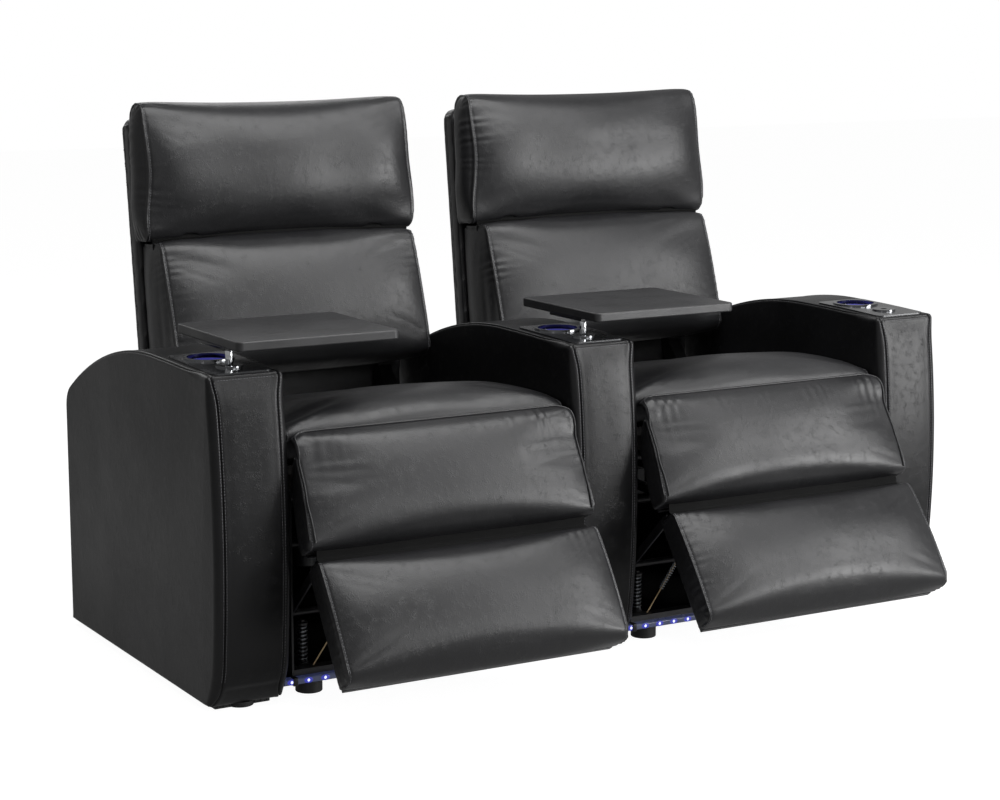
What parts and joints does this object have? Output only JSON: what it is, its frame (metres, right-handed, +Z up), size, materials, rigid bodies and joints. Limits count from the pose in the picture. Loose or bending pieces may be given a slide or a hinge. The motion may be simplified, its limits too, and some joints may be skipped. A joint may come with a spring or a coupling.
{
  "type": "power recliner seat row",
  "caption": "Row of joined power recliner seats in smooth black leather, with a shared centre arm, cup holders, swivel trays, split leg rests and tilting headrests.",
  "frame": {"origin": "on the floor under the front glide of the centre arm, midway along the row", "axes": "+X along the row to the right of a person who faces the seats, +Y to the back of the seats, +Z up"},
  "size_m": [1.676, 1.0683, 1.0878],
  "materials": {
    "black_leather": "glossy",
    "plywood": "matte",
    "console_trim": "gloss gunmetal",
    "chrome": "polished",
    "cup_light": "lit, translucent",
    "strip_light": "lit, translucent",
    "black_steel": "satin",
    "zinc_steel": "satin",
    "drive_plastic": "matte",
    "tray_plastic": "fine satin",
    "glide_rubber": "matte",
    "switch_plastic": "gloss"
  },
  "bodies": {
    "base": {"left_arm_cover": "black_leather", "left_arm_front": "black_leather", "centre_arm_cover": "black_leather", "centre_arm_front": "black_leather", "right_arm_cover": "black_leather", "right_arm_front": "black_leather", "arm_frames": "plywood", "console_plates": "console_trim", "cup_liners": "chrome", "cup_light_rings": "cup_light", "tray_sockets": "chrome", "floor_glides": "glide_rubber", "light_strips": "strip_light", "switch_bezels": "switch_plastic", "mechanism_springs": "zinc_steel", "power_inlets": "drive_plastic", "left_base_frame": "black_steel", "left_seat_frame": "plywood", "left_seat_cushion": "black_leather", "left_leg_actuator": "drive_plastic", "left_recline_actuator": "drive_plastic", "right_base_frame": "black_steel", "right_seat_frame": "plywood", "right_seat_cushion": "black_leather", "right_leg_actuator": "drive_plastic", "right_recline_actuator": "drive_plastic"},
    "left_back": {"left_back_frame": "black_steel", "left_back_shell": "black_leather", "left_lumbar_cushion": "black_leather"},
    "left_headrest": {"left_headrest_bracket": "black_steel", "left_headrest_cushion": "black_leather"},
    "left_upper_leg": {"left_upper_leg_board": "black_steel", "left_upper_leg_pad": "black_leather"},
    "left_lower_leg": {"left_lower_leg_board": "black_steel", "left_lower_leg_pad": "black_leather"},
    "left_leg_drive": {"left_leg_drive_arms": "zinc_steel"},
    "left_leg_coupler": {"left_leg_couplers": "black_steel"},
    "left_leg_block": {"left_leg_drive_block": "drive_plastic"},
    "left_recline_block": {"left_recline_drive_block": "drive_plastic"},
    "left_tray": {"left_tray_post": "chrome", "left_tray_top": "tray_plastic"},
    "left_recline_switch": {"left_recline_rocker": "switch_plastic"},
    "left_headrest_switch": {"left_headrest_rocker": "switch_plastic"},
    "right_back": {"right_back_frame": "black_steel", "right_back_shell": "black_leather", "right_lumbar_cushion": "black_leather"},
    "right_headrest": {"right_headrest_bracket": "black_steel", "right_headrest_cushion": "black_leather"},
    "right_upper_leg": {"right_upper_leg_board": "black_steel", "right_upper_leg_pad": "black_leather"},
    "right_lower_leg": {"right_lower_leg_board": "black_steel", "right_lower_leg_pad": "black_leather"},
    "right_leg_drive": {"right_leg_drive_arms": "zinc_steel"},
    "right_leg_coupler": {"right_leg_couplers": "black_steel"},
    "right_leg_block": {"right_leg_drive_block": "drive_plastic"},
    "right_recline_block": {"right_recline_drive_block": "drive_plastic"},
    "right_tray": {"right_tray_post": "chrome", "right_tray_top": "tray_plastic"},
    "right_recline_switch": {"right_recline_rocker": "switch_plastic"},
    "right_headrest_switch": {"right_headrest_rocker": "switch_plastic"}
  },
  "joints": [
    {"name": "left_recline", "type": "hinge", "parent": "base", "child": "left_back", "pos_m": [-0.381, 0.575, 0.395], "axis": [-1, 0, 0], "range_deg": [0, 40]},
    {"name": "left_headrest_tilt", "type": "hinge", "parent": "left_back", "child": "left_headrest", "pos_m": [-0.381, 0.63214, 0.81114], "axis": [1, 0, 0], "range_deg": [0, 20]},
    {"name": "left_leg_rest", "type": "hinge", "parent": "base", "child": "left_upper_leg", "pos_m": [-0.381, -0.05, 0.496], "axis": [-1, 0, 0], "range_deg": [-27, 45]},
    {"name": "left_leg_fold", "type": "hinge", "parent": "left_upper_leg", "child": "left_lower_leg", "pos_m": [-0.381, -0.07315, 0.27435], "axis": [-1, 0, 0], "range_deg": [-5.41, 9.01]},
    {"name": "left_leg_arms", "type": "hinge", "parent": "base", "child": "left_leg_drive", "pos_m": [-0.381, 0.085, 0.37], "axis": [-1, 0, 0], "range_deg": [-27.01, 45.01]},
    {"name": "left_leg_coupler_pin", "type": "hinge", "parent": "left_leg_drive", "child": "left_leg_coupler", "pos_m": [-0.381, 0.06185, 0.14835], "axis": [-1, 0, 0], "range_deg": [-45.01, 27.01]},
    {"name": "left_leg_drive_slide", "type": "slide", "parent": "base", "child": "left_leg_block", "axis": [0, -1, 0], "range_m": [-0.03988, 0.06633]},
    {"name": "left_recline_drive_slide", "type": "slide", "parent": "base", "child": "left_recline_block", "axis": [0, -1, 0], "range_m": [0, 0.06176]},
    {"name": "left_tray_swivel", "type": "hinge", "parent": "base", "child": "left_tray", "pos_m": [-0.762, 0.04, 0.63577], "axis": [0, 0, 1], "range_deg": [-120, 120]},
    {"name": "left_recline_switch_rock", "type": "hinge", "parent": "base", "child": "left_recline_switch", "pos_m": [-0.6831, 0.1335, 0.6], "axis": [0, 1, 0], "range_deg": [-5, 5], "stiffness_Nm_per_rad": 0.6},
    {"name": "left_headrest_switch_rock", "type": "hinge", "parent": "base", "child": "left_headrest_switch", "pos_m": [-0.6831, 0.1665, 0.6], "axis": [0, 1, 0], "range_deg": [-5, 5], "stiffness_Nm_per_rad": 0.6},
    {"name": "right_recline", "type": "hinge", "parent": "base", "child": "right_back", "pos_m": [0.381, 0.575, 0.395], "axis": [-1, 0, 0], "range_deg": [0, 40]},
    {"name": "right_headrest_tilt", "type": "hinge", "parent": "right_back", "child": "right_headrest", "pos_m": [0.381, 0.63214, 0.81114], "axis": [1, 0, 0], "range_deg": [0, 20]},
    {"name": "right_leg_rest", "type": "hinge", "parent": "base", "child": "right_upper_leg", "pos_m": [0.381, -0.05, 0.496], "axis": [-1, 0, 0], "range_deg": [-30.5, 41.5]},
    {"name": "right_leg_fold", "type": "hinge", "parent": "right_upper_leg", "child": "right_lower_leg", "pos_m": [0.381, -0.08664, 0.27618], "axis": [-1, 0, 0], "range_deg": [-6.11, 8.31]},
    {"name": "right_leg_arms", "type": "hinge", "parent": "base", "child": "right_leg_drive", "pos_m": [0.381, 0.085, 0.37], "axis": [-1, 0, 0], "range_deg": [-30.51, 41.51]},
    {"name": "right_leg_coupler_pin", "type": "hinge", "parent": "right_leg_drive", "child": "right_leg_coupler", "pos_m": [0.381, 0.04836, 0.15018], "axis": [-1, 0, 0], "range_deg": [-41.51, 30.51]},
    {"name": "right_leg_drive_slide", "type": "slide", "parent": "base", "child": "right_leg_block", "axis": [0, -1, 0], "range_m": [-0.04502, 0.06118]},
    {"name": "right_recline_drive_slide", "type": "slide", "parent": "base", "child": "right_recline_block", "axis": [0, -1, 0], "range_m": [0, 0.06176]},
    {"name": "right_tray_swivel", "type": "hinge", "parent": "base", "child": "right_tray", "pos_m": [0, 0.04, 0.63577], "axis": [0, 0, 1], "range_deg": [-120, 120]},
    {"name": "right_recline_switch_rock", "type": "hinge", "parent": "base", "child": "right_recline_switch", "pos_m": [0.0789, 0.1335, 0.6], "axis": [0, 1, 0], "range_deg": [-5, 5], "stiffness_Nm_per_rad": 0.6},
    {"name": "right_headrest_switch_rock", "type": "hinge", "parent": "base", "child": "right_headrest_switch", "pos_m": [0.0789, 0.1665, 0.6], "axis": [0, 1, 0], "range_deg": [-5, 5], "stiffness_Nm_per_rad": 0.6}
  ],
  "couplings": [
    {"joint": "left_leg_fold", "follows": "left_leg_rest", "ratio": 0.2},
    {"joint": "left_leg_arms", "follows": "left_leg_rest", "ratio": 1},
    {"joint": "left_leg_coupler_pin", "follows": "left_leg_rest", "ratio": -1},
    {"joint": "left_leg_drive_slide", "follows": "left_leg_rest", "m_per_rad": 0.08419},
    {"joint": "left_recline_drive_slide", "follows": "left_recline", "m_per_rad": 0.08818},
    {"joint": "right_leg_fold", "follows": "right_leg_rest", "ratio": 0.2},
    {"joint": "right_leg_arms", "follows": "right_leg_rest", "ratio": 1},
    {"joint": "right_leg_coupler_pin", "follows": "right_leg_rest", "ratio": -1},
    {"joint": "right_leg_drive_slide", "follows": "right_leg_rest", "m_per_rad": 0.08419},
    {"joint": "right_recline_drive_slide", "follows": "right_recline", "m_per_rad": 0.08818}
  ]
}
